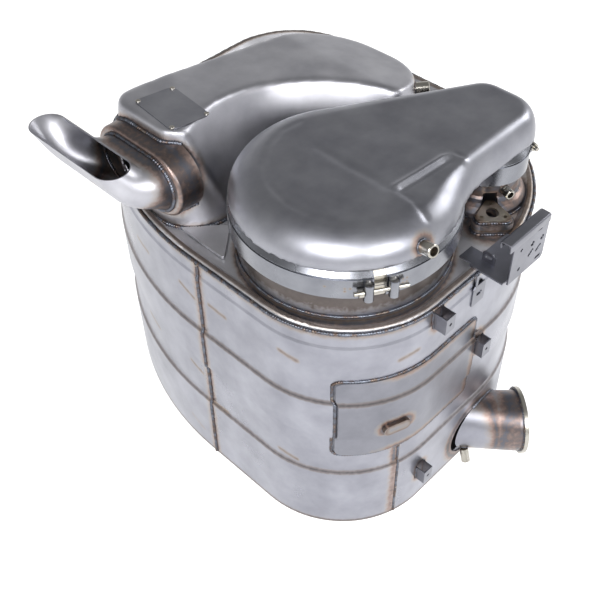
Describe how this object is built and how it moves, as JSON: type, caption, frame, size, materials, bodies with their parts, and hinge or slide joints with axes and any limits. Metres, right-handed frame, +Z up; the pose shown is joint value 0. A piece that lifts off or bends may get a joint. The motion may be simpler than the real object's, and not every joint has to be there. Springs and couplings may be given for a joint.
{
  "type": "exhaust muffler",
  "caption": "Stainless truck exhaust silencer box with filter and catalysts inside, a pear-shaped crossover cover, V-band clamps, a slanted inlet and an upturned outlet scoop.",
  "frame": {"origin": "on the flat underside of the box, on the axis of the particulate filter", "axes": "+Z up along the filter axis, +Y along the box's length away from the face with the U brackets, +X towards the mixing neck"},
  "size_m": [0.695, 0.8426, 0.6539],
  "materials": {
    "shell_steel": "brushed stainless sheet, weathered",
    "plate_steel": "pressed stainless sheet, satin",
    "hood_steel": "pressed stainless sheet, satin",
    "cover_steel": "pressed stainless sheet, satin",
    "pressed_steel": "pressed stainless sheet, heat tinted",
    "pipe_steel": "drawn stainless sheet, heat tinted at the seams",
    "flange_steel": "rolled stainless, satin",
    "clamp_steel": "bright stainless strip",
    "bolt_steel": "bright plated steel",
    "machined_steel": "machined steel",
    "cast_steel": "cast stainless, ground",
    "bracket_steel": "folded stainless strip",
    "inner_steel": "stainless sheet, heat tinted",
    "ceramic": "bare cordierite honeycomb",
    "gasket": "graphite gasket",
    "fibre_mat": "pressed fibre mat"
  },
  "bodies": {
    "root": {"body_shell": "shell_steel", "bottom_plate": "shell_steel", "side_patch": "shell_steel", "top_plate": "plate_steel", "pressure_port_block": "machined_steel", "outlet_hood": "hood_steel", "outlet_collar": "pressed_steel", "tail_pipe": "pipe_steel", "crossover_cover": "cover_steel", "crossover_pan": "inner_steel", "cover_flange": "flange_steel", "filter_flange": "flange_steel", "filter_clamp": "clamp_steel", "filter_clamp_latch": "bolt_steel", "neck_upper_flange": "flange_steel", "neck_lower_flange": "flange_steel", "neck_clamp": "clamp_steel", "neck_clamp_latch": "bolt_steel", "dosing_pad": "pressed_steel", "dosing_flange": "cast_steel", "mixing_neck": "pressed_steel", "mixing_tube": "inner_steel", "inlet_cone": "pressed_steel", "inlet_flange": "flange_steel", "hood_plate": "plate_steel", "hood_plate_rivets": "bolt_steel", "filter_gasket": "gasket", "neck_gasket": "gasket", "cover_boss": "machined_steel", "hood_boss": "machined_steel", "neck_boss": "machined_steel", "inlet_boss": "machined_steel", "mounting_bracket": "bracket_steel", "mounting_gusset": "bracket_steel", "bracket_foot": "bracket_steel", "wall_bracket_upper": "bracket_steel", "wall_bracket_middle": "bracket_steel", "wall_bracket_lower": "bracket_steel", "filter_canister": "inner_steel", "oxidation_catalyst": "ceramic", "oxidation_mat": "fibre_mat", "particulate_filter": "ceramic", "filter_mat": "fibre_mat", "reduction_canister_left": "inner_steel", "reduction_canister_right": "inner_steel", "reduction_catalyst_left": "ceramic", "reduction_catalyst_right": "ceramic", "reduction_mat_left": "fibre_mat", "reduction_mat_right": "fibre_mat", "lower_baffle": "inner_steel", "upper_baffle": "inner_steel", "chamber_partition": "inner_steel"}
  },
  "joints": []
}
